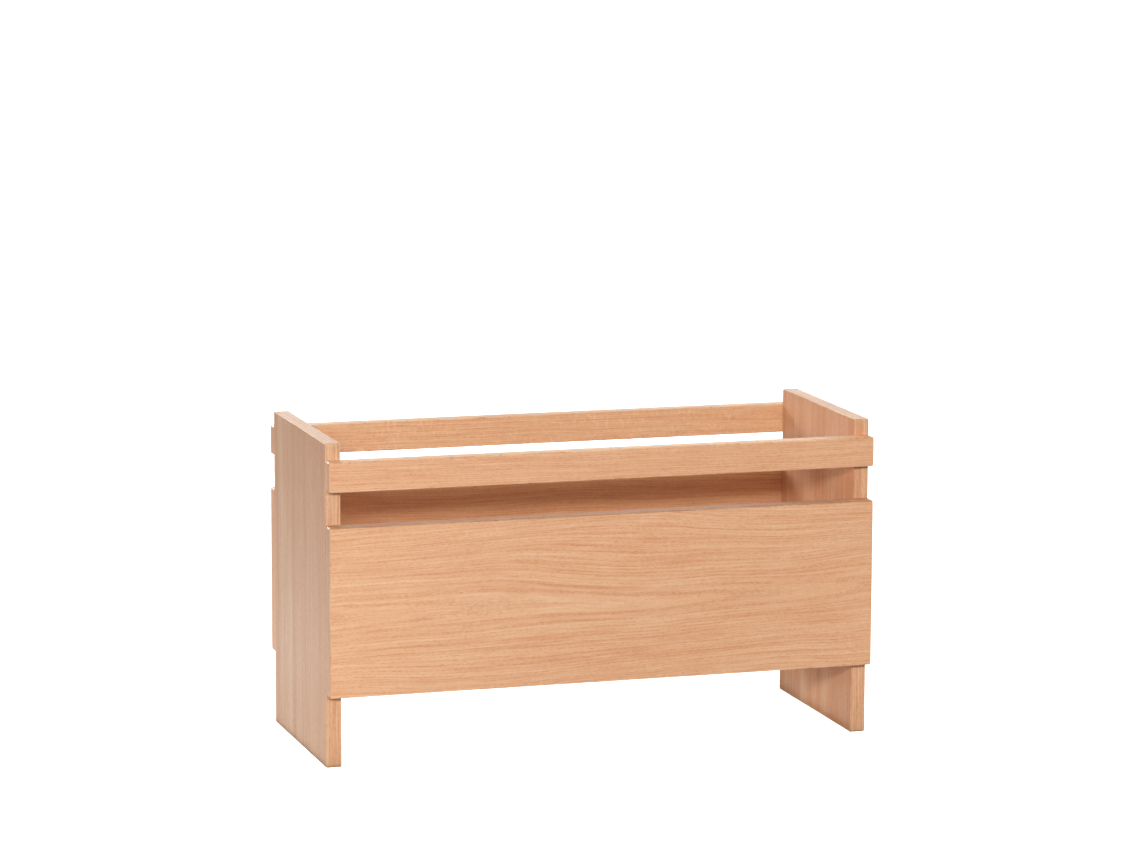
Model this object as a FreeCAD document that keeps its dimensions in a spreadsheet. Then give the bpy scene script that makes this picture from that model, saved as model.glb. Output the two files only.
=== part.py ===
"""A low magazine rack in oak-veneered board.

Two upright ends carry two wide panels and two rails, which lap over the ends' edges, and a bottom board
hangs between them. Every board is a core with a veneer on each face and a thin oak band on each edge that
shows. Glued dowels hold the boards together, so that no fastener shows from outside.

Millimetres. X runs along the rack, Y from its front to its rear and Z up. The origin is on the floor, under
the middle of the rack.

A board is drawn flat, in its own frame: its width runs along X and is centred, its height runs up Y from
zero, and its thickness runs from the inner face, at Z zero, to the outer face. Its sub-parts are then
stood up and turned to where they belong by their Placement.
"""

import FreeCAD
import Part

import math
import os
import re

import Sketcher

X = FreeCAD.Vector(1, 0, 0)
Y = FreeCAD.Vector(0, 1, 0)
Z = FreeCAD.Vector(0, 0, 1)
ORIGIN = FreeCAD.Vector(0, 0, 0)

# alias, value, what it is
SIZES = [
    ("rack_length", 490, "outside length, along X"),
    ("rack_depth", 210, "outside depth, along Y"),
    ("rack_height", 280, "height of the ends"),
    ("board", 13.2, "thickness of every board"),
    ("veneer", 0.6, "thickness of a face veneer"),
    ("band", 1.0, "thickness of an edge band"),
    ("corner_radius", 1.8, "a board's corners, seen square to its face"),
    ("arris_radius", 0.6, "the arrises round a board's faces"),
    ("panel_bottom", 63, "height of the panels' lower edges"),
    ("panel_top", 210, "height of the panels' upper edges"),
    ("rail_bottom", 240, "height of the rails' lower edges"),
    ("rail_top", 266, "height of the rails' upper edges"),
    ("floor_rise", 10, "bottom board's underside above the panels' lower edges"),
    ("dowel_across", 6, "dowel diameter"),
    ("dowel_length", 30, "dowel length"),
    ("dowel_in_face", 9, "length of dowel that goes into a board's face"),
    ("dowel_chamfer", 0.8, "chamfer on a dowel's ends"),
    ("flute_radius", 0.3, "radius of a glue flute"),
    ("flute_circle", 6.2, "diameter of the circle that the flutes are centred on"),
    ("glue_room", 0.05, "gap round a dowel"),
    ("glue_well", 0.5, "gap past a dowel's end"),
    ("rail_pitch", 13, "between the two dowels in a rail's end"),
    ("panel_pitch", 48, "between the three dowels in a panel's end"),
    ("floor_end_pitch", 56, "between the three dowels in the bottom board's end"),
    ("floor_side_pitch", 160, "between the three dowels in the bottom board's long edge"),
]
FLUTES = 12
PARALLEL = 0.999    # the least cosine between two directions that count as one
NEAR_ENOUGH = 0.01  # millimetres

# Expressions that more than one sub-part uses
END_WIDTH = "(rack_depth - 2 * board)"
FLOOR_LENGTH = "(rack_length - 2 * board)"
CORE = "(board - 2 * veneer)"
MID_BOARD = "board / 2"
RAIL_MIDDLE = "(rail_bottom + rail_top) / 2"
PANEL_MIDDLE = "(panel_bottom + panel_top) / 2"
FLOOR_MIDDLE = "(panel_bottom + floor_rise + board / 2)"
FACE_DEPTH = "(dowel_in_face + glue_well)"
EDGE_DEPTH = "(dowel_length - dowel_in_face + glue_well)"
IN_TWO = (-0.5, 0.5)
IN_THREE = (-1, 0, 1)
RAIL_DOWELS = [f"({RAIL_MIDDLE} + {step} * rail_pitch)" for step in IN_TWO]
PANEL_DOWELS = [f"({PANEL_MIDDLE} + {step} * panel_pitch)" for step in IN_THREE]

# Where the upright boards stand: turn about Z, then the place of the board's own origin
FRONT = (0, ("0", "-rack_depth / 2 + board"))
REAR = (180, ("0", "rack_depth / 2 - board"))
LEFT = (-90, ("-rack_length / 2 + board", "0"))
RIGHT = (90, ("rack_length / 2 - board", "0"))


def write_sizes(doc):
    """The spreadsheet of driving dimensions, one alias a row."""
    sheet = doc.addObject("Spreadsheet::Sheet", "Sizes")
    for row, (alias, value, meaning) in enumerate(SIZES, start=1):
        sheet.set(f"A{row}", alias)
        sheet.set(f"B{row}", str(value))
        sheet.set(f"C{row}", meaning)
        sheet.setAlias(f"B{row}", alias)
    doc.recompute()


def bind(thing, path, text):
    """Binds a property to an expression in the sheet's aliases."""
    thing.setExpression(path, re.sub(r"[a-z_]{2,}", lambda word: "Sizes." + word.group(0), text))


def place(thing, place_xyz):
    """Binds the three coordinates of a Placement."""
    for axis, text in zip("xyz", place_xyz):
        bind(thing, f"Placement.Base.{axis}", text)


def origin_feature(body, role):
    return next(feature for feature in body.Origin.OriginFeatures if feature.Role == role)


def sketch_on_xy(body, name):
    sketch = body.newObject("Sketcher::SketchObject", name)
    sketch.AttachmentSupport = [(origin_feature(body, "XY_Plane"), "")]
    sketch.MapMode = "FlatFace"
    return sketch


def constrain(sketch, name, expression, *constraint):
    """Adds a dimension with a name and binds it to the sheet."""
    index = sketch.addConstraint(Sketcher.Constraint(*constraint, 1.0))
    sketch.renameConstraint(index, name)
    bind(sketch, f"Constraints.{name}", expression)


def edges_where(feature, test):
    """The names of a feature's edges that pass a test."""
    return [f"Edge{n}" for n, edge in enumerate(feature.Shape.Edges, start=1) if test(edge)]


def faces_where(feature, test):
    """The names of a feature's faces that pass a test."""
    return [f"Face{n}" for n, face in enumerate(feature.Shape.Faces, start=1) if test(face)]


def runs_along_z(edge):
    return isinstance(edge.Curve, Part.Line) and abs(edge.Curve.Direction.dot(Z)) > PARALLEL


def faces_along_z(face):
    return isinstance(face.Surface, Part.Plane) and abs(face.Surface.Axis.dot(Z)) > PARALLEL


def outline(body, name, width, height):
    """A rectangle, centred in X, that stands on the X axis."""
    sketch = sketch_on_xy(body, f"{name}_outline")
    corners = [FreeCAD.Vector(x, y, 0) for x, y in ((-1, 0), (1, 0), (1, 1), (-1, 1))]
    bottom, right, top, left = range(4)
    for start, end in zip(corners, corners[1:] + corners[:1]):
        sketch.addGeometry(Part.LineSegment(start, end), False)
    for line in (bottom, right, top, left):
        sketch.addConstraint(Sketcher.Constraint("Coincident", line, 2, (line + 1) % 4, 1))
    for line in (bottom, top):
        sketch.addConstraint(Sketcher.Constraint("Horizontal", line))
    for line in (right, left):
        sketch.addConstraint(Sketcher.Constraint("Vertical", line))
    sketch.addConstraint(Sketcher.Constraint("Symmetric", bottom, 1, bottom, 2, -1, 1))
    constrain(sketch, "width", width, "DistanceX", bottom, 1, bottom, 2)
    constrain(sketch, "height", height, "DistanceY", right, 1, right, 2)
    return sketch


def board_blank(doc, name, width, height, eased):
    """A whole board before it is drilled, with its corners and arrises eased if its edges show."""
    body = doc.addObject("PartDesign::Body", f"{name}_blank")
    pad = body.newObject("PartDesign::Pad", f"{name}_thickness")
    pad.Profile = outline(body, name, width, height)
    bind(pad, "Length", "board")
    doc.recompute()
    if eased:
        corners = body.newObject("PartDesign::Fillet", f"{name}_corners")
        corners.Base = (pad, edges_where(pad, runs_along_z))
        bind(corners, "Radius", "corner_radius")
        doc.recompute()
        arrises = body.newObject("PartDesign::Fillet", f"{name}_arrises")
        arrises.Base = (corners, faces_where(corners, faces_along_z))
        bind(arrises, "Radius", "arris_radius")
        doc.recompute()
    return body


def dowel_hole(doc, name, start, direction, depth):
    """One drilling, from its mouth on a board's face or edge, inwards along direction."""
    hole = doc.addObject("Part::Cylinder", name)
    bind(hole, "Radius", "dowel_across / 2 + glue_room")
    bind(hole, "Height", depth)
    hole.Placement = FreeCAD.Placement(ORIGIN, FreeCAD.Rotation(Z, direction))
    place(hole, start)
    return hole


def drilled(doc, name, blank, holes):
    """The board with its dowel holes."""
    drillings = doc.addObject("Part::Compound", f"{name}_drillings")
    drillings.Links = holes
    cut = doc.addObject("Part::Cut", f"{name}_drilled")
    cut.Base = blank
    cut.Tool = drillings
    return cut


def slab(doc, name, low, size):
    """A box in the board's frame, which picks one layer or band out of the board."""
    box = doc.addObject("Part::Box", name)
    for side, text in zip(("Length", "Width", "Height"), size):
        bind(box, side, text)
    place(box, low)
    return box


def layer_slabs(doc, name, width, height, through):
    """The slabs of a board by layer: its core, its two veneers and, where its edges show, its four bands.

    The bands named by through, "sides" or "ends", run the board's whole length, and the others stop
    between them. A board with through None has bare edges.
    """
    inset = "band" if through else "0"
    inside_x = (f"-{width} / 2 + {inset}", f"{width} - 2 * {inset}")
    inside_y = (inset, f"{height} - 2 * {inset}")
    parts = {
        "inner": (inside_x, inside_y, ("0", "veneer")),
        "core": (inside_x, inside_y, ("veneer", CORE)),
        "outer": (inside_x, inside_y, ("board - veneer", "veneer")),
    }
    if through:
        thick = ("0", "board")
        all_x = (f"-{width} / 2", width)
        all_y = ("0", height)
        side_y = all_y if through == "sides" else inside_y
        end_x = all_x if through == "ends" else inside_x
        parts["minus_x"] = ((f"-{width} / 2", "band"), side_y, thick)
        parts["plus_x"] = ((f"{width} / 2 - band", "band"), side_y, thick)
        parts["low"] = (end_x, ("0", "band"), thick)
        parts["high"] = (end_x, (f"{height} - band", "band"), thick)
    return {
        part: slab(doc, f"{name}_{part}_slab", [low for low, _ in spans], [size for _, size in spans])
        for part, spans in parts.items()
    }


def stand(turn, xy, height):
    """The Placement of an upright board, as a fixed turn and three expressions."""
    return FreeCAD.Rotation(Z, turn) * FreeCAD.Rotation(X, 90), (*xy, height)


def split_board(doc, whole, slabs, names, prefix, rotation, place_xyz):
    """The sub-parts of one board: what its slabs have in common with the drilled board, put in place."""
    made = []
    for part, name in names.items():
        common = doc.addObject("Part::Common", f"{prefix}_{name}")
        common.Base = whole
        common.Tool = slabs[part]
        common.Label = f"{prefix}_{name}"
        common.Placement = FreeCAD.Placement(ORIGIN, rotation)
        place(common, place_xyz)
        made.append(common)
    return made


def face_and_edge_names(minus_x, plus_x, low):
    """What each layer of a board is called, by where its edges face once it stands."""
    return {
        "core": "core",
        "outer": "outer_veneer",
        "inner": "inner_veneer",
        "minus_x": f"{minus_x}_band",
        "plus_x": f"{plus_x}_band",
        "low": f"{low}_band",
        "high": "top_band",
    }


def inner_face_holes(doc, name, xs_and_ys):
    """Shallow holes in a board's inner face."""
    return [
        dowel_hole(doc, f"{name}_face_hole_{n}", (x, y, "0"), Z, FACE_DEPTH)
        for n, (x, y) in enumerate(xs_and_ys, start=1)
    ]


def edge_holes(doc, name, width, heights):
    """Deep holes in a board's two side edges, at the middle of its thickness."""
    holes = []
    for side, inwards in ((-1, X), (1, -X)):
        for n, height in enumerate(heights, start=1):
            start = (f"{side} * {width} / 2", height, MID_BOARD)
            hole = dowel_hole(doc, f"{name}_edge_hole_{n}", start, inwards, EDGE_DEPTH)
            holes.append(hole)
    return holes


def make_ends(doc):
    """The two upright ends, which are also the feet."""
    blank = board_blank(doc, "end", END_WIDTH, "rack_height", eased=True)
    floor_spots = [(f"{step} * floor_end_pitch", FLOOR_MIDDLE) for step in IN_THREE]
    holes = inner_face_holes(doc, "end", floor_spots)
    holes += edge_holes(doc, "end", END_WIDTH, RAIL_DOWELS + PANEL_DOWELS)
    whole = drilled(doc, "end", blank, holes)
    slabs = layer_slabs(doc, "end", END_WIDTH, "rack_height", through="sides")
    made = []
    for prefix, (turn, xy), edges in (
        ("left_side", LEFT, ("rear", "front")),
        ("right_side", RIGHT, ("front", "rear")),
    ):
        names = face_and_edge_names(*edges, "foot")
        made += split_board(doc, whole, slabs, names, prefix, *stand(turn, xy, "0"))
    return made


def make_cross_boards(doc, kind, bottom, top, dowels, floor_spots):
    """A front and a rear board, panel or rail, which lap over the edges of both ends."""
    height = f"({top} - {bottom})"
    blank = board_blank(doc, kind, "rack_length", height, eased=True)
    spots = [
        (f"{side} * (rack_length - board) / 2", f"{dowel} - {bottom}")
        for side in (-1, 1)
        for dowel in dowels
    ]
    holes = inner_face_holes(doc, kind, spots + floor_spots)
    whole = drilled(doc, kind, blank, holes)
    slabs = layer_slabs(doc, kind, "rack_length", height, through="ends")
    made = []
    for prefix, (turn, xy), ends in (
        (f"front_{kind}", FRONT, ("left", "right")),
        (f"rear_{kind}", REAR, ("right", "left")),
    ):
        names = face_and_edge_names(*ends, "bottom")
        made += split_board(doc, whole, slabs, names, prefix, *stand(turn, xy, bottom))
    return made


def make_panels(doc):
    floor_spots = [
        (f"{step} * floor_side_pitch", f"{FLOOR_MIDDLE} - panel_bottom") for step in IN_THREE
    ]
    return make_cross_boards(doc, "panel", "panel_bottom", "panel_top", PANEL_DOWELS, floor_spots)


def make_rails(doc):
    return make_cross_boards(doc, "rail", "rail_bottom", "rail_top", RAIL_DOWELS, [])


def make_bottom_board(doc):
    """The floor of the rack, which magazines stand on. Its edges are bare, since the others cover them."""
    name = "bottom_board"
    blank = board_blank(doc, name, FLOOR_LENGTH, END_WIDTH, eased=False)
    across = [f"{END_WIDTH} / 2 + {step} * floor_end_pitch" for step in IN_THREE]
    holes = edge_holes(doc, name, FLOOR_LENGTH, across)
    for edge, inwards in (("0", Y), (END_WIDTH, -Y)):
        for step in IN_THREE:
            start = (f"{step} * floor_side_pitch", edge, MID_BOARD)
            holes.append(dowel_hole(doc, f"{name}_long_edge_hole", start, inwards, EDGE_DEPTH))
    whole = drilled(doc, name, blank, holes)
    slabs = layer_slabs(doc, name, FLOOR_LENGTH, END_WIDTH, through=None)
    names = {"core": "core", "outer": "top_veneer", "inner": "underside_veneer"}
    place_xyz = ("0", f"-{END_WIDTH} / 2", "panel_bottom + floor_rise")
    return split_board(doc, whole, slabs, names, name, FreeCAD.Rotation(), place_xyz)


def make_dowel(doc):
    """One fluted beech dowel, standing on its end."""
    body = doc.addObject("PartDesign::Body", "dowel")
    round_section = sketch_on_xy(body, "dowel_section")
    round_section.addGeometry(Part.Circle(ORIGIN, Z, 1), False)
    round_section.addConstraint(Sketcher.Constraint("Coincident", 0, 3, -1, 1))
    constrain(round_section, "across", "dowel_across", "Diameter", 0)
    rod = body.newObject("PartDesign::Pad", "dowel_rod")
    rod.Profile = round_section
    bind(rod, "Length", "dowel_length")
    doc.recompute()
    chamfer = body.newObject("PartDesign::Chamfer", "dowel_chamfers")
    chamfer.Base = (rod, edges_where(rod, lambda edge: isinstance(edge.Curve, Part.Circle)))
    bind(chamfer, "Size", "dowel_chamfer")
    doc.recompute()

    flute_section = sketch_on_xy(body, "flute_section")
    flute_section.addGeometry(Part.Circle(X, Z, 1), False)
    flute_section.addConstraint(Sketcher.Constraint("PointOnObject", 0, 3, -1))
    constrain(flute_section, "out", "flute_circle / 2", "DistanceX", -1, 1, 0, 3)
    constrain(flute_section, "radius", "flute_radius", "Radius", 0)
    flute = body.newObject("PartDesign::Pocket", "flute")
    flute.Profile = flute_section
    flute.Type = "ThroughAll"
    flute.Reversed = True
    doc.recompute()
    if flute.Shape.Volume >= chamfer.Shape.Volume:
        raise RuntimeError("the flute cuts nothing")
    flutes = body.newObject("PartDesign::PolarPattern", "flutes")
    flutes.Originals = [flute]
    flutes.Axis = (origin_feature(body, "Z_Axis"), [""])
    flutes.Angle = 360
    flutes.Occurrences = FLUTES
    body.Tip = flutes
    doc.recompute()
    return body


def dowel_group(doc, dowel, name, direction, starts):
    """Dowels that lie the same way, as they lie at the rack's front or left end."""
    links = []
    for start in starts:
        link = doc.addObject("App::Link", f"{name}_dowel")
        link.LinkedObject = dowel
        link.Placement = FreeCAD.Placement(ORIGIN, FreeCAD.Rotation(Z, direction))
        place(link, start)
        links.append(link)
    return links


def twin_groups(doc, links, names):
    """The same dowels at one side of the rack and, turned half round, at the other."""
    made = []
    for name, turn in zip(names, (0, 180)):
        group = doc.addObject("Part::Compound", f"{name}_dowels")
        group.Links = links
        group.Label = f"{name}_dowels"
        group.Placement = FreeCAD.Placement(ORIGIN, FreeCAD.Rotation(Z, turn))
        made.append(group)
    return made


def make_dowels(doc):
    """All the dowels, one group for each glued joint line."""
    dowel = make_dowel(doc)
    front_start = "-rack_depth / 2 + board - dowel_in_face"
    left_start = "-rack_length / 2 + board - dowel_in_face"
    made = []
    for kind, heights in (("rail", RAIL_DOWELS), ("panel", PANEL_DOWELS)):
        starts = [
            (f"{side} * (rack_length - board) / 2", front_start, height)
            for side in (-1, 1)
            for height in heights
        ]
        links = dowel_group(doc, dowel, kind, Y, starts)
        made += twin_groups(doc, links, (f"front_{kind}", f"rear_{kind}"))

    starts = [(f"{step} * floor_side_pitch", front_start, FLOOR_MIDDLE) for step in IN_THREE]
    links = dowel_group(doc, dowel, "floor_side", Y, starts)
    made += twin_groups(doc, links, ("bottom_board_front", "bottom_board_rear"))

    starts = [(left_start, f"{step} * floor_end_pitch", FLOOR_MIDDLE) for step in IN_THREE]
    links = dowel_group(doc, dowel, "floor_end", X, starts)
    made += twin_groups(doc, links, ("bottom_board_left", "bottom_board_right"))
    return made


def check(doc, parts):
    """Stops the script if a feature failed, or a sub-part is not sound solids of its own."""
    failed = [thing.Name for thing in doc.Objects if {"Invalid", "Error"} & set(thing.State)]
    if failed:
        raise RuntimeError(f"these features failed: {failed}")
    labels = [part.Label for part in parts]
    if len(set(labels)) != len(labels):
        raise RuntimeError("two sub-parts have one name")
    for part in parts:
        shape = part.Shape
        if shape.isNull() or not shape.isValid() or not shape.Solids:
            raise RuntimeError(f"{part.Label} has no valid solid")


def check_whole(doc, parts):
    """The sub-parts must fill the rack's own box, from the floor up."""
    sheet = doc.getObject("Sizes")
    box = FreeCAD.BoundBox()
    for part in parts:
        box.add(part.Shape.optimalBoundingBox(False))
    for size, wanted in (
        (box.XLength, sheet.rack_length),
        (box.YLength, sheet.rack_depth),
        (box.ZLength, sheet.rack_height),
        (box.ZMin, 0),
    ):
        if not math.isclose(size, wanted, abs_tol=NEAR_ENOUGH):
            raise RuntimeError(f"the rack measures {size:.3f} where {wanted} is wanted")


def export(parts):
    os.makedirs("parts", exist_ok=True)
    for part in parts:
        part.Shape.exportStep(f"parts/{part.Label}.step")
        print(f"{part.Label}: {len(part.Shape.Solids)} solid(s), {part.Shape.Volume:.0f} mm3")


def main():
    doc = FreeCAD.newDocument("magazine_rack")
    write_sizes(doc)
    parts = make_ends(doc) + make_panels(doc) + make_rails(doc) + make_bottom_board(doc)
    parts += make_dowels(doc)
    doc.recompute()
    check(doc, parts)
    check_whole(doc, parts)
    export(parts)


main()
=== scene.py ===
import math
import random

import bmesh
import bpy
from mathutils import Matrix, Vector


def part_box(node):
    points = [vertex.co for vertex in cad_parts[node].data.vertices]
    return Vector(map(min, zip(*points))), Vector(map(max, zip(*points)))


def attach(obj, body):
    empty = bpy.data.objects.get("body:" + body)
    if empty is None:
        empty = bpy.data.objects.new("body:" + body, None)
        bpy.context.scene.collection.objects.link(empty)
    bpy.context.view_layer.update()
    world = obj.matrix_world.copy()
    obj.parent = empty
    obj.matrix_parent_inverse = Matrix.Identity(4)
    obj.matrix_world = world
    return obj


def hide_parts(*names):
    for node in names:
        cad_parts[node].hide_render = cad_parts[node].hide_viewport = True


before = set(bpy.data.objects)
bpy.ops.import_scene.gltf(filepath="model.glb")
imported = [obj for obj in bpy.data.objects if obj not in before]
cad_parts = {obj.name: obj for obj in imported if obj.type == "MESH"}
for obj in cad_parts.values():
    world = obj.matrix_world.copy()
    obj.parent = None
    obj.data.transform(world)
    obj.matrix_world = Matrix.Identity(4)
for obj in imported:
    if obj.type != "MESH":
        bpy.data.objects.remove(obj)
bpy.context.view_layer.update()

# A low magazine rack in oak-veneered board, finished in clear matt lacquer.
#
# Each board is built up as it is in the frame, with veneers on its two faces and thin bands on its edges.
# Each of these is cut from a blank of its whole board, with eased corners and arrises. The cores and dowels
# are the frame's own, in raw fibreboard and beech. Metres throughout, in the frame's axes: X along the
# rack, Y from its front to its rear, Z up. The patterns of the woods work in millimetres, in each piece's
# own directions: along its grain, across it, and into the log.

MM = 0.001
ACROSS_THE_RACK, FROM_FRONT_TO_REAR, UP = range(3)
ORIGIN = Vector((0, 0, 0))


# ---------------------------------------------------------------- node tools

SOCKETS = {"number": "NodeSocketFloat", "vector": "NodeSocketVector", "colour": "NodeSocketColor"}
# A Mix node has sockets for every kind of value under the same names. These are the ones for colours.
MIX_AMOUNT, MIX_FIRST, MIX_SECOND, MIX_RESULT = 0, 6, 7, 2
CLOUD_ROUGHNESS = 0.55
# Nearly all of a cloud lies between these.
CLOUD_LOW, CLOUD_HIGH = 0.3, 0.7


def add(tree, kind, inputs, **settings):
    """Adds a shader node, sets it up, and sets or joins its inputs."""
    made = tree.nodes.new("ShaderNode" + kind)
    for name, value in settings.items():
        setattr(made, name, value)
    for name, value in inputs.items():
        if isinstance(value, bpy.types.NodeSocket):
            tree.links.new(value, made.inputs[name])
        else:
            made.inputs[name].default_value = value
    return made


def calc(tree, operation, first, second=0.0):
    return add(tree, "Math", {0: first, 1: second}, operation=operation).outputs[0]


def sized(tree, vector, sizes):
    """The vector, counted in features of these sizes."""
    return add(tree, "VectorMath", {0: vector, 1: sizes}, operation="DIVIDE").outputs[0]


def cloud(tree, vector, sizes, detail=1.0):
    """Soft uneven patches of these sizes, from 0 to 1 about a half."""
    inputs = {
        "Vector": sized(tree, vector, sizes), "Scale": 1.0, "Detail": detail, "Roughness": CLOUD_ROUGHNESS,
    }
    return add(tree, "TexNoise", inputs).outputs[0]


def swing(tree, value, reach):
    """Turns 0 to 1 into a swing to either side of nought."""
    return calc(tree, "MULTIPLY", calc(tree, "SUBTRACT", value, 0.5), reach)


def rise(tree, value, start, end, low=0.0, high=1.0):
    """A smooth rise, or a fall, between two values."""
    inputs = {"Value": value, "From Min": start, "From Max": end, "To Min": low, "To Max": high}
    return add(tree, "MapRange", inputs, interpolation_type="SMOOTHSTEP").outputs[0]


def blend(tree, amount, first, second, **settings):
    """One colour turned into another by an amount."""
    inputs = {MIX_AMOUNT: amount, MIX_FIRST: first, MIX_SECOND: second}
    return add(tree, "Mix", inputs, data_type="RGBA", **settings).outputs[MIX_RESULT]


def stain(tree, amount, colour, shares):
    """A colour times these shares of it, by an amount."""
    return blend(tree, amount, colour, (*shares, 1), blend_type="MULTIPLY")


def new_group(name, inputs, outputs):
    """Starts a node group. Gives its tree, the sockets that come in, and the sockets that go out."""
    tree = bpy.data.node_groups.new(name, "ShaderNodeTree")
    for way, sockets in (("INPUT", inputs), ("OUTPUT", outputs)):
        for label, kind in sockets.items():
            tree.interface.new_socket(label, in_out=way, socket_type=SOCKETS[kind])
    return tree, tree.nodes.new("NodeGroupInput").outputs, tree.nodes.new("NodeGroupOutput").inputs


def place_group(tree, group, inputs):
    return add(tree, "Group", inputs, node_tree=group).outputs


# ---------------------------------------------------------------- oak

# Patterns of the oak: their sizes in mm along the grain, across it and into the log, and how far they swing.
# The leaves are so thin that the last size hardly shows.
SLOW_BENDS, BENDS_PER_WANDER = (260.0, 90.0, 60.0), 4.0
RIPPLES, RIPPLE_REACH = (60.0, 16.0, 60.0), 3.0
UNEVEN_YEARS, UNEVEN_REACH = (500.0, 9.0, 60.0), 3.0
BROAD_BANDS = (500.0, 22.0, 60.0)
STREAKS, STREAK_TONE = (200.0, 1.7, 60.0), 2.3
MOTTLE, MOTTLE_TONE = (30.0, 5.0, 60.0), 0.9
FIBRES, FIBRE_TONE = (40.0, 0.55, 60.0), 2.1

# The early wood of a year comes and goes at these shares of the year, and is darker by its tone.
EARLY_START, EARLY_FULL, EARLY_FADES, EARLY_END = 0.0, 0.10, 0.25, 0.65
EARLY_TONE = 0.16

# A tone of 0 is the dark oak and a tone of 1 the pale one. Some wood lies beyond both.
MIDDLE_TONE, DARKEST_TONE, PALEST_TONE = 0.54, -0.3, 1.4

# How far a leaf slips along the log and how much deeper than its neighbour it lies, in mm, and how far the
# tones of leaves differ.
LEAF_SLIP, LEAF_STEP, LEAF_TONE = 300.0, 17.0, 0.5

# Nets with a short mark in some of their cells: the size of a cell in mm, how far the mark reaches from the
# middle of its cell in cells, and the share of the cells that have one.
LONG_PORES = {"cell": (4.2, 0.30, 1.0), "reach": 0.40}
SHORT_PORES = {"cell": (2.1, 0.17, 1.0), "reach": 0.36, "share": 0.35}
RAY_TICKS = {"cell": (17.0, 1.0, 1.0), "reach": 0.30, "share": 0.4}
LONG_PORES_SHARE, MORE_IN_EARLY_WOOD = 0.10, 0.62
# Rows are staggered by so many cells, and a mark begins to fade at this share of its reach.
ROW_STAGGER, MARK_CORE = 0.618, 0.55
SHORT_PORE_STRENGTH, TICK_STRENGTH = 0.45, 0.5

# Pale flecks show where they rise above a level, and only in patches.
RAY_PATCHES, PATCH_START, PATCH_FULL = (60.0, 22.0, 60.0), 0.40, 0.56
RAY_FLECKS, FLECK_START, FLECK_FULL = (3.0, 7.0, 60.0), 0.53, 0.64

OAK_PALE, OAK_DARK = (0.742, 0.442, 0.258), (0.668, 0.330, 0.170)
PORE_STAIN, TICK_STAIN = (0.80, 0.65, 0.55), (0.93, 0.86, 0.80)
FLAKE_STAIN, WEAR_AND_HIGHLIGHT_STAIN = (1.08, 1.11, 1.14), (1.06, 1.08, 1.10)
LACQUER_ROUGHNESS, FLAKES_SMOOTHER, PORES_ROUGHER = 0.41, 0.06, 0.14
# How deep the pores are, and the share of that by which dark wood lies lower than pale.
PORE_DEPTH, TONE_RELIEF = 0.05 * MM, 0.12

ARRIS_MASK = "arris"
# Arrises are paler and duller in uneven patches: partly sanded wear, and partly a painted highlight along
# each arris.
ARRIS_PATCHES, ARRIS_PATCH_START, ARRIS_PATCH_FULL = (35.0, 35.0, 35.0), 0.30, 0.62
LEAST_WEAR_AND_HIGHLIGHT, WEAR_AND_HIGHLIGHT_PALER, WORN_DULLER = 0.45, 0.6, 0.05


def spliced_leaves():
    """Leaves of veneer laid side by side. Each is a different slice of the log, and has its own shade."""
    tree, given, out = new_group(
        "spliced leaves",
        {"Vector": "vector", "Leaf Width": "number", "First Joint": "number"},
        {"Vector": "vector", "Shade": "number"})
    across = add(tree, "SeparateXYZ", {0: given["Vector"]}).outputs["Y"]
    from_joint = calc(tree, "SUBTRACT", across, given["First Joint"])
    leaf = calc(tree, "FLOOR", calc(tree, "DIVIDE", from_joint, given["Leaf Width"]))
    chance = add(tree, "TexWhiteNoise", {"W": leaf}, noise_dimensions="1D").outputs["Value"]
    along = calc(tree, "MULTIPLY", chance, LEAF_SLIP)
    deeper = calc(tree, "MULTIPLY", leaf, LEAF_STEP)
    slip = add(tree, "CombineXYZ", {"X": along, "Z": deeper}).outputs[0]
    slipped = add(tree, "VectorMath", {0: given["Vector"], 1: slip}, operation="ADD").outputs[0]
    tree.links.new(slipped, out["Vector"])
    tree.links.new(chance, out["Shade"])
    return tree


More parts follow.
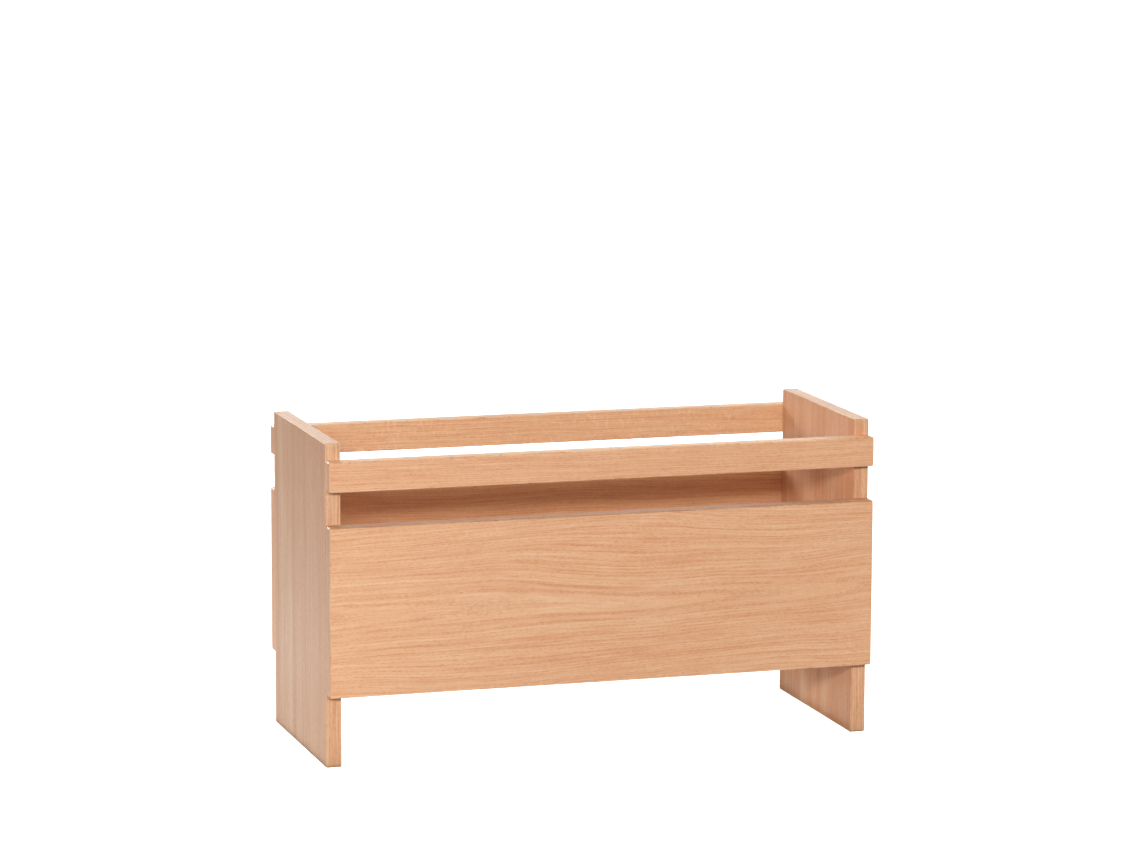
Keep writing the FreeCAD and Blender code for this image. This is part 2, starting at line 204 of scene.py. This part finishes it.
def oak_figure():
    """Year rings where a leaf cuts them: a crown over the pith, and straight lines to the sides of it."""
    tree, given, out = new_group(
        "oak figure",
        {"Vector": "vector", "Pith Depth": "number", "Taper": "number", "Ring Width": "number",
         "Wander": "number", "Broad": "number", "Contrast": "number"},
        {"Flow": "vector", "Streaks": "number", "Early Wood": "number"})
    place = add(tree, "SeparateXYZ", {0: given["Vector"]}).outputs
    bends = calc(tree, "MULTIPLY", given["Wander"], BENDS_PER_WANDER)
    wander = swing(tree, cloud(tree, given["Vector"], SLOW_BENDS), bends)
    ripple = swing(tree, cloud(tree, given["Vector"], RIPPLES, detail=2.0), RIPPLE_REACH)
    across = calc(tree, "ADD", calc(tree, "ADD", place["Y"], wander), ripple)
    depth = calc(tree, "POWER", given["Pith Depth"], 2.0)
    radius = calc(tree, "SQRT", calc(tree, "ADD", calc(tree, "MULTIPLY", across, across), depth))
    radius = calc(tree, "ADD", radius, calc(tree, "MULTIPLY", given["Taper"], place["X"]))
    rings = add(tree, "CombineXYZ", {"X": place["X"], "Y": radius, "Z": place["Z"]}).outputs[0]
    flow = add(tree, "CombineXYZ", {"X": place["X"], "Y": across, "Z": place["Z"]}).outputs[0]

    uneven = swing(tree, cloud(tree, rings, UNEVEN_YEARS, detail=2.0), UNEVEN_REACH)
    years = calc(tree, "ADD", calc(tree, "DIVIDE", radius, given["Ring Width"]), uneven)
    year = calc(tree, "FRACT", years)
    rising = rise(tree, year, EARLY_START, EARLY_FULL)
    early = calc(tree, "MULTIPLY", rising, rise(tree, year, EARLY_FADES, EARLY_END, 1.0, 0.0))

    broad = swing(tree, cloud(tree, rings, BROAD_BANDS, detail=3.0), given["Broad"])
    middle = swing(tree, cloud(tree, rings, STREAKS, detail=2.0), STREAK_TONE)
    mottle = swing(tree, cloud(tree, flow, MOTTLE, detail=2.0), MOTTLE_TONE)
    fibres = swing(tree, cloud(tree, flow, FIBRES), FIBRE_TONE)
    streaks = calc(tree, "ADD", calc(tree, "ADD", broad, middle), calc(tree, "ADD", mottle, fibres))
    streaks = calc(tree, "SUBTRACT", streaks, calc(tree, "MULTIPLY", early, EARLY_TONE))
    streaks = calc(tree, "MULTIPLY", streaks, given["Contrast"])
    tree.links.new(flow, out["Flow"])
    tree.links.new(calc(tree, "ADD", streaks, MIDDLE_TONE), out["Streaks"])
    tree.links.new(early, out["Early Wood"])
    return tree


def dashes(tree, flow, cell, reach, share):
    """Short marks along the grain, one in each of a share of a net's cells."""
    net = add(tree, "SeparateXYZ", {0: sized(tree, flow, cell)}).outputs
    stagger = calc(tree, "ADD", net["X"], calc(tree, "MULTIPLY", net["Y"], ROW_STAGGER))
    net = add(tree, "CombineXYZ", {"X": stagger, "Y": net["Y"]}).outputs[0]
    cells = add(tree, "TexVoronoi", {"Vector": net, "Scale": 1.0}, voronoi_dimensions="2D").outputs
    shape = rise(tree, cells["Distance"], reach * MARK_CORE, reach, 1.0, 0.0)
    chance = add(tree, "SeparateColor", {0: cells["Color"]}).outputs[0]
    kept = calc(tree, "LESS_THAN", chance, share)
    return calc(tree, "MULTIPLY", shape, kept)


def oak_pores():
    """Open vessels: long ones crowded in the early wood, and fine ones all over."""
    tree, given, out = new_group(
        "oak pores",
        {"Flow": "vector", "Early Wood": "number"},
        {"Pores": "number"})
    more = calc(tree, "MULTIPLY", given["Early Wood"], MORE_IN_EARLY_WOOD)
    crowd = calc(tree, "ADD", more, LONG_PORES_SHARE)
    coarse = dashes(tree, given["Flow"], share=crowd, **LONG_PORES)
    fine = calc(tree, "MULTIPLY", dashes(tree, given["Flow"], **SHORT_PORES), SHORT_PORE_STRENGTH)
    tree.links.new(calc(tree, "MAXIMUM", coarse, fine), out["Pores"])
    return tree


def oak_rays():
    """Rays: fine dark ticks on a flat-cut leaf, and pale flakes on one cut towards the pith."""
    tree, given, out = new_group(
        "oak rays",
        {"Flow": "vector", "Flake": "number"},
        {"Flakes": "number", "Ticks": "number"})
    patches = rise(tree, cloud(tree, given["Flow"], RAY_PATCHES), PATCH_START, PATCH_FULL)
    flecks = rise(tree, cloud(tree, given["Flow"], RAY_FLECKS, detail=2.0), FLECK_START, FLECK_FULL)
    flakes = calc(tree, "MULTIPLY", flecks, patches)
    tree.links.new(calc(tree, "MULTIPLY", flakes, given["Flake"]), out["Flakes"])
    tree.links.new(dashes(tree, given["Flow"], **RAY_TICKS), out["Ticks"])
    return tree


def lacquered_oak():
    """Oak under clear matt lacquer: its colour, its gloss, and the relief of the open grain."""
    tree, given, out = new_group(
        "lacquered oak",
        {"Pale": "colour", "Dark": "colour", "Streaks": "number", "Shade": "number", "Pores": "number",
         "Flakes": "number", "Ticks": "number"},
        {"Color": "colour", "Roughness": "number", "Height": "number"})
    tone = calc(tree, "ADD", given["Streaks"], swing(tree, given["Shade"], LEAF_TONE))
    tone = add(tree, "Clamp", {"Value": tone, "Min": DARKEST_TONE, "Max": PALEST_TONE}).outputs[0]
    colour = blend(tree, tone, given["Dark"], given["Pale"], clamp_factor=False)
    colour = stain(tree, given["Flakes"], colour, FLAKE_STAIN)
    colour = stain(tree, calc(tree, "MULTIPLY", given["Ticks"], TICK_STRENGTH), colour, TICK_STAIN)
    colour = stain(tree, given["Pores"], colour, PORE_STAIN)
    smoother = calc(tree, "MULTIPLY", given["Flakes"], FLAKES_SMOOTHER)
    rougher = calc(tree, "MULTIPLY", given["Pores"], PORES_ROUGHER)
    roughness = calc(tree, "ADD", calc(tree, "SUBTRACT", LACQUER_ROUGHNESS, smoother), rougher)
    relief = calc(tree, "SUBTRACT", calc(tree, "MULTIPLY", tone, TONE_RELIEF), given["Pores"])
    tree.links.new(colour, out["Color"])
    tree.links.new(roughness, out["Roughness"])
    tree.links.new(relief, out["Height"])
    return tree


def arris_wear_and_highlight():
    """Arrises a little paler and duller in uneven patches: partly sanded wear, partly a painted highlight
    along each arris.
    """
    tree, given, out = new_group(
        "arris wear and painted highlight",
        {"Color": "colour", "Roughness": "number", "Vector": "vector"},
        {"Color": "colour", "Roughness": "number"})
    arris = add(tree, "Attribute", {}, attribute_name=ARRIS_MASK).outputs["Fac"]
    patches = cloud(tree, given["Vector"], ARRIS_PATCHES, detail=2.0)
    patches = rise(tree, patches, ARRIS_PATCH_START, ARRIS_PATCH_FULL, LEAST_WEAR_AND_HIGHLIGHT, 1.0)
    worn_and_lit = calc(tree, "MULTIPLY", arris, patches)
    colour = stain(tree, calc(tree, "MULTIPLY", worn_and_lit, WEAR_AND_HIGHLIGHT_PALER), given["Color"], WEAR_AND_HIGHLIGHT_STAIN)
    duller = calc(tree, "ADD", given["Roughness"], calc(tree, "MULTIPLY", worn_and_lit, WORN_DULLER))
    tree.links.new(colour, out["Color"])
    tree.links.new(duller, out["Roughness"])
    return tree


LEAVES, FIGURE, PORES = spliced_leaves(), oak_figure(), oak_pores()
RAYS, LACQUER, ARRIS_WEAR_AND_HIGHLIGHT = oak_rays(), lacquered_oak(), arris_wear_and_highlight()

# Ways to cut a leaf from the log: how many mm off centre from the pith, how strong its ray flakes are, and
# what goes into its figure.
CROWN_CUT = {
    "off centre": 0.0, "flake": 0.3,
    "figure": {"Pith Depth": 34.0, "Taper": 0.012, "Ring Width": 2.0, "Wander": 7.0,
               "Broad": 0.30, "Contrast": 0.93},
}
RIFT_CUT = {
    "off centre": 130.0, "flake": 0.2,
    "figure": {"Pith Depth": 60.0, "Taper": 0.010, "Ring Width": 1.7, "Wander": 2.0,
               "Broad": 0.5, "Contrast": 0.8},
}
SIDE_CUT = {
    "off centre": 130.0, "flake": 0.2,
    "figure": {"Pith Depth": 60.0, "Taper": 0.004, "Ring Width": 1.9, "Wander": 1.5,
               "Broad": 3.0, "Contrast": 0.95},
}
BAND_CUT = {
    "off centre": 130.0, "flake": 0.2,
    "figure": {"Pith Depth": 60.0, "Taper": 0.006, "Ring Width": 2.3, "Wander": 2.0,
               "Broad": 1.2, "Contrast": 1.45},
}
QUARTER_CUT = {
    "off centre": 90.0, "flake": 1.0,
    "figure": {"Pith Depth": 20.0, "Taper": 0.006, "Ring Width": 1.8, "Wander": 2.5,
               "Broad": 0.8, "Contrast": 0.9},
}
ONE_LEAF = {"Leaf Width": 1000.0, "First Joint": -500.0}


def longest_first(sizes):
    """The axes of a piece from its longest side to its shortest."""
    return sorted(range(3), key=lambda axis: -sizes[axis])


def new_material(name):
    """A material with nothing in it but its shader and output."""
    material = bpy.data.materials.new(name)
    material.use_nodes = True
    return material, material.node_tree, material.node_tree.nodes["Principled BSDF"]


def grain_place(tree, order, middle=ORIGIN, shift=ORIGIN):
    """Object coordinates in millimetres, from the middle of a piece and then shifted.

    They are turned to run along the grain, across it, and into the log, by the order of the axes.
    """
    turn = Matrix([Vector([float(axis == side) for axis in range(3)]) for side in order])
    turn[2] *= turn.determinant()
    inputs = {
        "Vector": add(tree, "TexCoord", {}).outputs["Object"],
        "Location": Vector(shift) - turn @ middle / MM,
        "Rotation": turn.to_euler(),
        "Scale": (1 / MM, 1 / MM, 1 / MM),
    }
    return add(tree, "Mapping", inputs, vector_type="POINT").outputs[0]


def add_relief(tree, shader, height, depth):
    """Gives a surface the relief of its pattern."""
    bump = add(tree, "Bump", {"Height": height, "Distance": depth})
    tree.links.new(bump.outputs[0], shader.inputs["Normal"])


def tinted(colour, tint):
    return (*(channel * share for channel, share in zip(colour, tint)), 1)


def oak(name, low, high, cut, shift, tint, joints):
    """Lacquered oak for one piece, with the grain along its longest side."""
    material, tree, shader = new_material(name)
    place = grain_place(tree, longest_first(high - low), (low + high) / 2, shift)
    leaves = place_group(tree, LEAVES, {"Vector": place, **joints})
    figure = place_group(tree, FIGURE, {"Vector": leaves["Vector"], **cut["figure"]})
    pores = place_group(tree, PORES, {"Flow": figure["Flow"], "Early Wood": figure["Early Wood"]})
    rays = place_group(tree, RAYS, {"Flow": figure["Flow"], "Flake": cut["flake"]})
    surface = place_group(tree, LACQUER, {
        "Pale": tinted(OAK_PALE, tint),
        "Dark": tinted(OAK_DARK, tint),
        "Streaks": figure["Streaks"],
        "Shade": leaves["Shade"],
        "Pores": pores["Pores"],
        "Flakes": rays["Flakes"],
        "Ticks": rays["Ticks"],
    })
    # The arrises are made paler: partly wear, partly a painted highlight.
    arris_worn_and_lit = place_group(tree, ARRIS_WEAR_AND_HIGHLIGHT, {
        "Color": surface["Color"],
        "Roughness": surface["Roughness"],
        "Vector": place,
    })
    tree.links.new(arris_worn_and_lit["Color"], shader.inputs["Base Color"])
    tree.links.new(arris_worn_and_lit["Roughness"], shader.inputs["Roughness"])
    add_relief(tree, shader, surface["Height"], PORE_DEPTH)
    return material


# ---------------------------------------------------------------- raw board and beech

# Patterns of the board and the beech: sizes in mm, and how far they swing.
FELT, FELT_TONE = (1.4, 1.4, 0.5), 0.7
BOARD_PATCHES, PATCH_TONE = (18.0, 18.0, 18.0), 0.9
SPECKS, SPECK_START, SPECK_FULL = (0.6, 0.6, 0.6), 0.68, 0.76
BOARD_DARK, BOARD_PALE, SPECK_STAIN = (0.30, 0.185, 0.105, 1), (0.47, 0.32, 0.20, 1), (0.62, 0.55, 0.50)
BOARD_ROUGHNESS, BOARD_FUZZ = (0.78, 0.92), 0.05 * MM

BEECH_STREAKS = (30.0, 1.3, 1.3)
BEECH_TICKS = {"cell": (2.6, 0.5, 1.0), "reach": 0.34, "share": 0.5}
BEECH_DARK, BEECH_PALE, BEECH_TICK_STAIN = (0.52, 0.31, 0.17, 1), (0.66, 0.43, 0.26, 1), (0.72, 0.60, 0.50)
BEECH_ROUGHNESS, BEECH_RELIEF = (0.62, 0.52), 0.04 * MM


def fibreboard():
    """Raw medium-density fibreboard: fine felted fibres, a few dark specks, a soft dusty surface."""
    material, tree, shader = new_material("raw fibreboard")
    place = grain_place(tree, (ACROSS_THE_RACK, FROM_FRONT_TO_REAR, UP))
    felt = cloud(tree, place, FELT, detail=4.0)
    patches = cloud(tree, place, BOARD_PATCHES, detail=2.0)
    specks = rise(tree, cloud(tree, place, SPECKS), SPECK_START, SPECK_FULL)
    fibres = rise(tree, felt, CLOUD_LOW, CLOUD_HIGH, 0.0, FELT_TONE)
    tone = calc(tree, "ADD", fibres, swing(tree, patches, PATCH_TONE))
    colour = stain(tree, specks, blend(tree, tone, BOARD_DARK, BOARD_PALE), SPECK_STAIN)
    tree.links.new(colour, shader.inputs["Base Color"])
    roughness = rise(tree, felt, CLOUD_LOW, CLOUD_HIGH, *BOARD_ROUGHNESS)
    tree.links.new(roughness, shader.inputs["Roughness"])
    add_relief(tree, shader, felt, BOARD_FUZZ)
    return material


def planed_beech():
    """Plain planed beech: pinkish and close, with small brown ray ticks along its grain."""
    tree, given, out = new_group(
        "planed beech",
        {"Vector": "vector"},
        {"Color": "colour", "Roughness": "number", "Height": "number"})
    streaks = cloud(tree, given["Vector"], BEECH_STREAKS, detail=3.0)
    ticks = dashes(tree, given["Vector"], **BEECH_TICKS)
    colour = blend(tree, rise(tree, streaks, CLOUD_LOW, CLOUD_HIGH), BEECH_DARK, BEECH_PALE)
    tree.links.new(stain(tree, ticks, colour, BEECH_TICK_STAIN), out["Color"])
    tree.links.new(rise(tree, streaks, CLOUD_LOW, CLOUD_HIGH, *BEECH_ROUGHNESS), out["Roughness"])
    tree.links.new(streaks, out["Height"])
    return tree


BEECH = planed_beech()


def beech(name, order):
    """Beech for dowels, which have their grain along the first axis of the order."""
    material, tree, shader = new_material(name)
    surface = place_group(tree, BEECH, {"Vector": grain_place(tree, order)})
    tree.links.new(surface["Color"], shader.inputs["Base Color"])
    tree.links.new(surface["Roughness"], shader.inputs["Roughness"])
    add_relief(tree, shader, surface["Height"], BEECH_RELIEF)
    return material


# ---------------------------------------------------------------- boards

CORNER_RADIUS, CORNER_STEPS = 1.8 * MM, 6
ARRIS_RADIUS, ARRIS_STEPS = 0.6 * MM, 4
LEAST_CUT = 0.3 * MM
CUT_TOLERANCE = 0.0001 * MM
SHARPEST_SMOOTH_EDGE = 40  # degrees


def node_box(names):
    """The box round several of the frame's nodes."""
    boxes = [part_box(name) for name in names]
    low = Vector([min(box[0][axis] for box in boxes) for axis in range(3)])
    high = Vector([max(box[1][axis] for box in boxes) for axis in range(3)])
    return low, high


def edges_along(bm, axis):
    """The edges of a box that run along an axis."""
    return [edge for edge in bm.edges if edge.verts[0].co[axis] != edge.verts[1].co[axis]]


def edges_round_faces(bm, thin):
    """The edges round a board's two faces."""
    return [edge for edge in bm.edges if edge.verts[0].co[thin] == edge.verts[1].co[thin]]


def round_off(bm, edges, radius, steps):
    bmesh.ops.bevel(bm, geom=edges, offset=radius, segments=steps, profile=0.5, affect="EDGES", material=-1)


def eased_blank(low, high, thin):
    """A board as one solid, with its corners and then the arrises of its faces rounded.

    The mask is 1 halfway round an arris, and fades to 0 at both its sides. It marks where the arris is made
    paler, partly as wear and partly as a painted highlight.
    """
    bm = bmesh.new()
    place = Matrix.Translation((low + high) / 2) @ Matrix.Diagonal((*(high - low), 1))
    bmesh.ops.create_cube(bm, size=1, matrix=place)
    round_off(bm, edges_along(bm, thin), CORNER_RADIUS, CORNER_STEPS)
    round_off(bm, edges_round_faces(bm, thin), ARRIS_RADIUS, ARRIS_STEPS)
    mask = bm.verts.layers.float.new(ARRIS_MASK)
    for vert in bm.verts:
        gap = min(abs(vert.co[thin] - low[thin]), abs(high[thin] - vert.co[thin])) / ARRIS_RADIUS
        vert[mask] = max(0.0, math.sin(math.pi * min(1.0, gap)))
    return bm


def keep_between(bm, axis, start, end):
    """Cuts a solid down to the slab between two planes across an axis, and closes the cuts."""
    for place, outwards in ((start, -1), (end, 1)):
        normal = Vector((0, 0, 0))
        normal[axis] = outwards
        point = Vector((0, 0, 0))
        point[axis] = place
        everything = bm.verts[:] + bm.edges[:] + bm.faces[:]
        bmesh.ops.bisect_plane(bm, geom=everything, dist=CUT_TOLERANCE, plane_co=point, plane_no=normal,
                               clear_outer=True)
        rim = [edge for edge in bm.edges if edge.is_boundary]
        if rim:
            bmesh.ops.holes_fill(bm, edges=rim)


def finish_piece(bm, name, material, node):
    """Makes a piece of a bmesh, smooth round its arrises, and puts it in the place of its node."""
    bmesh.ops.recalc_face_normals(bm, faces=bm.faces)
    for face in bm.faces:
        face.smooth = True
    mesh = bpy.data.meshes.new(name)
    bm.to_mesh(mesh)
    bm.free()
    mesh.set_sharp_from_angle(angle=math.radians(SHARPEST_SMOOTH_EDGE))
    mesh.materials.append(material)
    piece = bpy.data.objects.new(name, mesh)
    bpy.context.scene.collection.objects.link(piece)
    flat_faces = piece.modifiers.new("flat faces", "WEIGHTED_NORMAL")
    flat_faces.keep_sharp = True
    flat_faces.weight = 100
    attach(piece, "root")
    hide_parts(node)


# Which way each board is thin, and how its leaves were cut. The sides have several leaves, with a joint about
# so many mm from the board's middle.
SIDE_LEAF_WIDTH = 51.0
BOARDS = {
    "left_side": {"thin": ACROSS_THE_RACK, "cut": SIDE_CUT, "joint": 25.0},
    "right_side": {"thin": ACROSS_THE_RACK, "cut": SIDE_CUT, "joint": 8.0},
    "front_panel": {"thin": FROM_FRONT_TO_REAR, "cut": CROWN_CUT},
    "rear_panel": {"thin": FROM_FRONT_TO_REAR, "cut": CROWN_CUT},
    "front_rail": {"thin": FROM_FRONT_TO_REAR, "cut": RIFT_CUT},
    "rear_rail": {"thin": FROM_FRONT_TO_REAR, "cut": QUARTER_CUT},
    "bottom_board": {"thin": UP, "cut": CROWN_CUT},
}

# Where in the log leaves come from, in mm, and how much their shades differ.
ALONG_THE_LOG, OFF_THE_LINE, INTO_THE_LOG = (-500, 500), (-3, 3), (0, 5000)
SHADES = (0.985, 1.015)
SEED = 12

# Places along the log and into it, in mm, of the leaves that were picked for their figure.
CHOSEN_SLICES = {"front_panel_outer_veneer": (-2386.0, 6927.0)}

# Bands and veneers whose colour is set apart from the rest, as shares of its colour. This is partly the
# leaves' own brown and partly painted light, matched to how each face is lit. Painted shade darkens the front
# panel's top band under the front rail and, in part, the sides' front bands under it. A painted highlight
# lightens the front rail's top band, the other top bands are darkened as painted shade to temper their sheen,
# and the left side's outer veneer is made greyer, partly as a painted sheen.
LEAF_TINTS_AND_PAINTED_LIGHT = {
    "left_side_outer_veneer": (0.905, 0.98, 1.05),
    "left_side_front_band": (0.90, 0.93, 0.94),
    # Darker in part as painted shade under the front rail.
    "right_side_front_band": (0.93, 0.90, 0.89),
    "right_side_inner_veneer": (1.04, 1.03, 1.02),
    "front_panel_left_band": (0.82, 0.80, 0.80),
    # Painted shade: darkened for the shade under the front rail.
    "front_panel_top_band": (0.66, 0.57, 0.48),
    "front_rail_outer_veneer": (0.985, 0.975, 0.97),
    # Painted shade: the top bands are darkened to temper their sheen.
    "left_side_top_band": (0.85, 0.84, 0.76),
    "right_side_top_band": (0.87, 0.88, 0.80),
    # Painted highlight: this top band is lightened.
    "front_rail_top_band": (1.04, 1.10, 1.06),
    "rear_rail_top_band": (0.97, 0.99, 0.93),
    "rear_rail_inner_veneer": (0.955, 1.01, 1.0),
    "rear_panel_inner_veneer": (1.04, 1.01, 0.93),
}


def leaf_joints(lay, cut):
    if "joint" not in lay:
        return ONE_LEAF
    return {"Leaf Width": SIDE_LEAF_WIDTH, "First Joint": cut["off centre"] + lay["joint"]}


def make_board(board, lay, chance):
    """Veneers and bands of one board, each in its own oak."""
    nodes = [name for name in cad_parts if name.startswith(board) and not name.endswith("dowels")]
    low, high = node_box(nodes)
    for node in sorted(nodes):
        if node.endswith("_core"):
            continue
        part_low, part_high = node_box([node])
        blank = eased_blank(low, high, lay["thin"])
        for axis in range(3):
            start, end = part_low[axis], part_high[axis]
            if start > low[axis] + LEAST_CUT or end < high[axis] - LEAST_CUT:
                keep_between(blank, axis, start, end)

        veneer = node.endswith("_veneer")
        cut = lay["cut"] if veneer else BAND_CUT
        joints = leaf_joints(lay, cut) if veneer else ONE_LEAF
        along = chance.uniform(*ALONG_THE_LOG)
        across = chance.uniform(*OFF_THE_LINE)
        deep = chance.uniform(*INTO_THE_LOG)
        along, deep = CHOSEN_SLICES.get(node, (along, deep))
        shift = (along, cut["off centre"] + across, deep)
        shade = chance.uniform(*SHADES)
        # A piece's tint holds its leaves' brown and, on some bands, painted shade and painted highlight.
        tint = [shade * share for share in LEAF_TINTS_AND_PAINTED_LIGHT.get(node, (1.0, 1.0, 1.0))]
        material = oak("oak " + node, part_low, part_high, cut, shift, tint, joints)
        finish_piece(blank, node + "_oak", material, node)


def finish_frame_nodes():
    """Gives the cores and dowels, which are the frame's own, their materials."""
    board = fibreboard()
    rearwards = beech("beech pointing rearwards", (FROM_FRONT_TO_REAR, ACROSS_THE_RACK, UP))
    sideways = beech("beech pointing sideways", (ACROSS_THE_RACK, FROM_FRONT_TO_REAR, UP))
    finishes = {"_core": board, "_dowels": rearwards, "_left_dowels": sideways, "_right_dowels": sideways}
    for ending, material in finishes.items():
        for name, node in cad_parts.items():
            if name.endswith(ending):
                for slot in node.material_slots:
                    slot.material = material


chance = random.Random(SEED)
for board, lay in BOARDS.items():
    make_board(board, lay, chance)
finish_frame_nodes()


# ---------------------------------------------------------------- studio

LENS_MM = 140.85
CAMERA_PLACE = (-1.1534, -3.6897, 0.8992)
CAMERA_TURN, CAMERA_DIP, CAMERA_ROLL = 17.357, 9.262, 0.230  # degrees
SENSOR_MM = 36.0
NEAREST_SEEN, FURTHEST_SEEN = 0.1, 100.0

# Softboxes stand round the rack at one distance and face its middle. A turn of 0 is straight in front, and
# turns go to the right. Turns and lifts are in degrees, and powers in watts.
RACK_MIDDLE = Vector((0, 0, 0.15))
SOFTBOX_DISTANCE = 3.0
SOFTBOXES = {
    "key": {"turn": -22, "lift": 17.7, "size": (1.0, 0.25), "power": 56.0},
    "front fill": {"turn": 0, "lift": 18, "size": (1.0, 0.25), "power": 16.5},
    "right fill": {"turn": 100, "lift": 20, "size": (1.4, 0.9), "power": 34.0},
    "rear right": {"turn": 150, "lift": 15, "size": (1.4, 0.9), "power": 9.2},
    "rear low": {"turn": 180, "lift": 17, "size": (1.4, 0.9), "power": 10.0},
    "rear": {"turn": 200, "lift": 20, "size": (1.4, 0.9), "power": 42.5},
    "rear left": {"turn": 210, "lift": 15, "size": (1.4, 0.9), "power": 3.0},
    "overhead": {"turn": 0, "lift": 90, "size": (2.0, 2.0), "power": 3.5},
}

# Cards of light lie on the floor between these places along X and Y, and stand in for the light that a white
# floor gives back.
CARD_HEIGHT = 0.0001
CARDS = {
    "front card": {"x": (-1.2, 1.2), "y": (-1.7, -0.11), "power": 2.3},
    "near left card": {"x": (-0.9, -0.248), "y": (-0.35, 0.25), "power": 1.12},
    "right card": {"x": (0.248, 0.9), "y": (-0.35, 0.65), "power": 0.8},
    "left card": {"x": (-1.0, -0.25), "y": (0.25, 0.65), "power": 1.15},
    "far left card": {"x": (-1.4, -0.25), "y": (0.65, 1.7), "power": 2.7},
    "rear card": {"x": (-0.25, 0.248), "y": (0.45, 1.7), "power": 1.3},
    "card under the rack": {"x": (-0.22, 0.22), "y": (-0.12, 0.12), "power": 0.27},
}
SKY_GLOW = 0.42
FLOOR_SIZE = 20.0
PAPER, PAPER_GLOW = (0.9, 0.9, 0.9, 1), 0.85
DULL_PAPER = (0.02, 0.02, 0.02, 1)
WHITE = (1, 1, 1, 1)


def make_camera():
    camera = bpy.data.objects.new("camera", bpy.data.cameras.new("camera"))
    camera.data.lens = LENS_MM
    camera.data.sensor_width = SENSOR_MM
    turn = Matrix.Rotation(math.radians(-CAMERA_TURN), 4, "Z")
    dip = Matrix.Rotation(math.radians(90 - CAMERA_DIP), 4, "X")
    roll = Matrix.Rotation(math.radians(CAMERA_ROLL), 4, "Z")
    camera.matrix_world = Matrix.Translation(CAMERA_PLACE) @ turn @ dip @ roll
    camera.data.clip_start, camera.data.clip_end = NEAREST_SEEN, FURTHEST_SEEN
    bpy.context.scene.collection.objects.link(camera)
    bpy.context.scene.camera = camera


def soft_light(name, place, aim, size, power):
    """A rectangular soft light that is only seen by what it lights."""
    light = bpy.data.objects.new(name, bpy.data.lights.new(name, "AREA"))
    light.data.shape = "RECTANGLE"
    light.data.size, light.data.size_y = size
    light.data.energy = power
    light.location = place
    light.rotation_mode = "QUATERNION"
    light.rotation_quaternion = (Vector(aim) - Vector(place)).to_track_quat("-Z", "Y")
    light.visible_camera = False
    bpy.context.scene.collection.objects.link(light)


def make_lights():
    for name, box in SOFTBOXES.items():
        turn, lift = math.radians(box["turn"]), math.radians(box["lift"])
        way = Vector((math.sin(turn) * math.cos(lift), -math.cos(turn) * math.cos(lift), math.sin(lift)))
        soft_light(name, RACK_MIDDLE + SOFTBOX_DISTANCE * way, RACK_MIDDLE, box["size"], box["power"])
    for name, card in CARDS.items():
        (left, right), (front, rear) = card["x"], card["y"]
        place = Vector(((left + right) / 2, (front + rear) / 2, CARD_HEIGHT))
        soft_light(name, place, place + Vector((0, 0, 1)), (right - left, rear - front), card["power"])


def make_floor():
    """A pale floor. It looks bright to the camera, and gives back little light: the cards do that."""
    bm = bmesh.new()
    bmesh.ops.create_grid(bm, x_segments=1, y_segments=1, size=FLOOR_SIZE / 2)
    mesh = bpy.data.meshes.new("floor")
    bm.to_mesh(mesh)
    bm.free()
    floor = bpy.data.objects.new("floor", mesh)
    bpy.context.scene.collection.objects.link(floor)
    material = bpy.data.materials.new("floor paper")
    material.use_nodes = True
    tree = material.node_tree
    tree.nodes.remove(tree.nodes["Principled BSDF"])
    matt = add(tree, "BsdfDiffuse", {"Color": PAPER}).outputs[0]
    glow = add(tree, "Emission", {"Color": WHITE, "Strength": PAPER_GLOW}).outputs[0]
    dull = add(tree, "BsdfDiffuse", {"Color": DULL_PAPER}).outputs[0]
    bright = add(tree, "AddShader", {0: matt, 1: glow}).outputs[0]
    seen = add(tree, "LightPath", {}).outputs["Is Camera Ray"]
    mixed = add(tree, "MixShader", {0: seen, 1: dull, 2: bright}).outputs[0]
    tree.links.new(mixed, tree.nodes["Material Output"].inputs["Surface"])
    mesh.materials.append(material)


def make_sky():
    """White to the camera, and a soft even glow to everything else."""
    world = bpy.data.worlds.new("studio")
    world.use_nodes = True
    tree = world.node_tree
    seen = add(tree, "LightPath", {}).outputs["Is Camera Ray"]
    strength = add(tree, "MapRange", {"Value": seen, "To Min": SKY_GLOW, "To Max": 1.0}).outputs[0]
    tree.nodes["Background"].inputs["Color"].default_value = WHITE
    tree.links.new(strength, tree.nodes["Background"].inputs["Strength"])
    bpy.context.scene.world = world


make_camera()
make_lights()
make_floor()
make_sky()
bpy.context.scene.view_settings.view_transform = "Standard"
